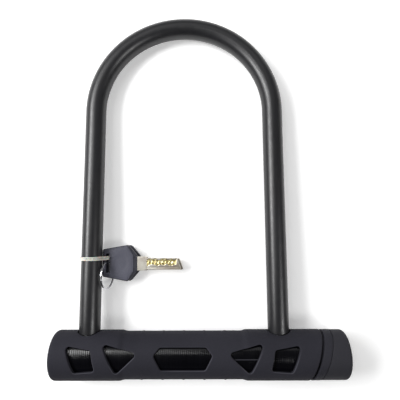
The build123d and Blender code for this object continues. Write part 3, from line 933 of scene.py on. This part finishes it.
def split_ring():
    B = Build()
    ta = math.radians(RING_TILT)
    ax = np.array([math.sin(ta), 0, math.cos(ta)])
    e1 = np.array([math.cos(ta), 0, -math.sin(ta)])
    e2 = np.array([0.0, 1.0, 0.0])
    c = np.array(RING_C)
    turns, n = 1.93, 260
    hw, hh = 0.62, 0.325      # half sizes of the wire: radial, axial
    sec = []
    for sx, sy in ((1, -1), (1, 1), (-1, 1), (-1, -1)):
        for k in range(4):
            a = {(1, -1): -90, (1, 1): 0, (-1, 1): 90, (-1, -1): 180}[(sx, sy)] + k * 30
            sec.append((sx * (hw - 0.22) + 0.22 * math.cos(math.radians(a)), sy * (hh - 0.16) + 0.16 * math.sin(math.radians(a))))
    rows = []
    for i in range(n + 1):
        f = i / n
        ph = math.radians(200) + f * turns * 2 * math.pi
        j = smooth((f * turns - 0.93) / 0.10)
        off = -0.345 + 0.69 * float(j)
        rad = e1 * math.cos(ph) + e2 * math.sin(ph)
        w = 1.0
        if i in (0, n):
            w = 0.86
        rows.append(np.array([c + rad * (RING_R + a * w) + ax * (off + b * w) for a, b in sec]))
    ids = B.rings(rows)
    B.fan(ids[0], rows[0].mean(0))
    B.fan(ids[-1], rows[-1].mean(0))
    return B


o = split_ring().make("key_ring", "ring", level, sharp=50)
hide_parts("split_ring")
paint(o, RING)

# ------------------------------------------------------------------ cable tie
LEG_ZT = END_R - TIE_Y * math.tan(T)


def hull_path():
    """The strap's inner line: a taut belt round the leg and three small corners, counter-clockwise in x, z."""
    xs = STRAND_X - TIE_T / 2 - 0.5
    circles = [(-LEG_X, LEG_ZT, ROD_R + 0.2), (-64.2, 1.95, 0.5), (xs, 1.95, 0.5), (xs, 13.4, 0.5)]
    out = []
    m = len(circles)
    tang = []
    for i in range(m):
        (x1, y1, r1), (x2, y2, r2) = circles[i], circles[(i + 1) % m]
        d = np.array([x2 - x1, y2 - y1])
        L = np.linalg.norm(d)
        base = math.atan2(d[1], d[0])
        a = base - math.pi / 2 + math.asin((r2 - r1) / L) * -1.0
        # outward normal of a counter-clockwise outer tangent
        a = base - math.acos((r1 - r2) / L)
        tang.append(a)
    for i in range(m):
        x, y, r = circles[i]
        a0, a1 = tang[i - 1], tang[i]
        while a1 < a0:
            a1 += 2 * math.pi
        k = max(6, int((a1 - a0) * (r + 0.6) / 0.16))
        out.append([(x + r * math.cos(a), y + r * math.sin(a), math.cos(a), math.sin(a)) for a in np.linspace(a0, a1, k)])
    path = []
    for i in range(m):
        path += out[i]
        p, q = np.array(out[i][-1]), np.array(out[(i + 1) % m][0])
        L = np.linalg.norm(q[:2] - p[:2])
        k = int(L / 0.16)
        path += [tuple(p + (q - p) * j / k) for j in range(1, k)]
    return np.array(path)


def tie_mesh():
    B = Build()
    P = hull_path()
    step = np.linalg.norm(P[:, :2] - np.roll(P[:, :2], 1, 0), axis=1)
    s = np.cumsum(step)
    hw = TIE_W / 2
    pitch = 1.0
    rows, painted_tooth_shade = [], []
    for (x, z, nx, nz), d in zip(P, s):
        saw = (d % pitch) / pitch
        tooth = 0.60 + 0.38 * saw
        prof = [(-hw + 0.12, 0.0), (-hw, 0.12), (-hw, TIE_T - 0.22), (-hw + 0.14, TIE_T), (-hw + 0.42, TIE_T), (-hw + 0.55, TIE_T - 0.12),
                (-hw + 0.60, tooth), (hw - 0.60, tooth), (hw - 0.55, TIE_T - 0.12), (hw - 0.42, TIE_T), (hw - 0.14, TIE_T), (hw, TIE_T - 0.22), (hw, 0.12), (hw - 0.12, 0.0)]
        rows.append(np.array([(x + nx * h, STRAP_Y + w, z + nz * h) for w, h in prof]))
        # painted shade weight, strongest at the bottom of each tooth's groove
        painted_tooth_shade += [0.0] * 5 + [(1 - saw) ** 1.5] * 4 + [0.0] * 5
    ids = B.rings(rows)
    B.bridge(ids[-1], ids[0])
    return B, painted_tooth_shade


def head_mesh():
    """The tie's head, with the cut end of the strap standing out of it."""
    B = Build()
    c = np.array([-71.0, STRAP_Y, LEG_ZT - ROD_R - 0.2 - TIE_T - 1.55])
    a = math.radians(14)
    ex, ez, ey = np.array([math.cos(a), 0, -math.sin(a)]), np.array([math.sin(a), 0, math.cos(a)]), np.array([0, 1.0, 0])

    def block(cx, cz, sx, sy, sz, r):
        L = rounded([(-sx, -sy), (sx, -sy), (sx, sy), (-sx, sy)], r, 0.0, 4, 3)
        Li = rounded([(-sx, -sy), (sx, -sy), (sx, sy), (-sx, sy)], r, -0.3, 4, 3)
        f = lambda L, z: np.array([c + ex * (p[0] + cx) + ey * p[1] + ez * (z + cz) for p in L])
        rows = [f(Li, -sz), f(L, -sz + 0.3), f(L, sz - 0.3), f(Li, sz)]
        ids = B.rings(rows)
        B.fan(ids[0], c + ex * cx + ez * (cz - sz))
        B.fan(ids[-1], c + ex * cx + ez * (cz + sz))

    block(0, 0, 2.35, 2.25, 1.45, 0.7)
    block(-3.0, -0.1, 1.1, 1.3, 0.45, 0.25)
    return B


B, painted_tooth_shade = tie_mesh()
o = B.make("tie_strap", "keys", level, sharp=32, attr={"tooth": painted_tooth_shade})
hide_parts("cable_tie")
paint(o, NYLON)
o = head_mesh().make("tie_head", "keys", level, sharp=40)
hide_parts("cable_tie")
paint(o, NYLON)

# ------------------------------------------------------------------ stage, light and camera
floor = bpy.data.meshes.new("floor")
floor.from_pydata([(-3, -3, 0), (3, -3, 0), (3, 3, 0), (-3, 3, 0)], [], [(0, 1, 2, 3)])
floor = bpy.data.objects.new("floor", floor)
bpy.context.scene.collection.objects.link(floor)
m = Mat("floor_paper")
fib = m.noise(900, 4)
floor.data.materials.append(m.out(m.mix(m.ramp(m.noise(6, 3), [(0.3, 0.0), (0.7, 1.0)]), (0.84, 0.84, 0.84), (0.86, 0.86, 0.86)), 0.8, m.bump(fib, 0.05, 0.00005),
                                  Specular_IOR_Level=0.1, Emission_Color=(1, 1, 1, 1), Emission_Strength=0.33))


def area(name, loc, target, size, power, color=(1, 1, 1), size_y=None, spread=180):
    L = bpy.data.lights.new(name, "AREA")
    L.energy, L.color = power, color
    L.shape = "RECTANGLE" if size_y else "SQUARE"
    L.size = size
    if size_y:
        L.size_y = size_y
    L.spread = math.radians(spread)
    o = bpy.data.objects.new(name, L)
    # local x stays level
    z = (Vector(loc) - Vector(target)).normalized()
    x = Vector((0, 0, 1)).cross(z).normalized()
    o.matrix_world = Matrix.Translation(Vector(loc)) @ Matrix((x, z.cross(x), z)).transposed().to_4x4()
    bpy.context.scene.collection.objects.link(o)
    return o


area("softbox_left", (-0.80, 0.22, 0.80), (0, 0.0, 0), 0.74, 15.0, size_y=0.34)
area("softbox_right", (0.80, -0.40, 0.94), (0, 0, 0), 0.36, 4.8, size_y=0.34)
area("strip_back_left", (-0.325, 0.33, 0.80), (-0.085, -0.126, 0), 0.11, 1.35, size_y=0.40)
area("strip_back", (0.10, 0.70, 0.80), (0, -0.1, 0), 0.70, 0.65, size_y=0.36)
world = bpy.data.worlds.new("studio")
world.use_nodes = True
nt = world.node_tree
bg = nt.nodes["Background"]
bg.inputs[0].default_value = (1, 1, 1, 1)
# dim overhead and in front, brighter toward the horizon and behind
tc, sep = nt.nodes.new("ShaderNodeTexCoord"), nt.nodes.new("ShaderNodeSeparateXYZ")
nt.links.new(tc.outputs["Generated"], sep.inputs[0])
up, back, total = nt.nodes.new("ShaderNodeMapRange"), nt.nodes.new("ShaderNodeMapRange"), nt.nodes.new("ShaderNodeMath")
for node, vals in ((up, (0.0, 0.85, 0.26, 0.06)), (back, (-0.6, 0.8, 0.35, 1.5))):
    for i, v in enumerate(vals):
        node.inputs[i + 1].default_value = v
nt.links.new(sep.outputs["Z"], up.inputs[0])
nt.links.new(sep.outputs["Y"], back.inputs[0])
total.operation = "MULTIPLY"
nt.links.new(up.outputs[0], total.inputs[0])
nt.links.new(back.outputs[0], total.inputs[1])
nt.links.new(total.outputs[0], bg.inputs[1])
bpy.context.scene.world = world

cam = bpy.data.cameras.new("camera")
cam.sensor_width, cam.lens = 36.0, 36 * 370.745 / 400
cam.clip_start, cam.clip_end = 0.01, 20
cam = bpy.data.objects.new("camera", cam)
R = Matrix(((0.99993435, 0.00633979, 0.0095447), (-0.00551068, 0.99640676, -0.08451747), (-0.01004622, 0.08445933, 0.99637628)))
cam.matrix_world = Matrix.Translation(Vector(((5.8549 + 9.79758 + OX) / 1000, (92.6838 + OY) / 1000, 0.3075394))) @ R.to_4x4()
bpy.context.scene.collection.objects.link(cam)
bpy.context.scene.camera = cam
bpy.context.scene.view_settings.view_transform = "Standard"
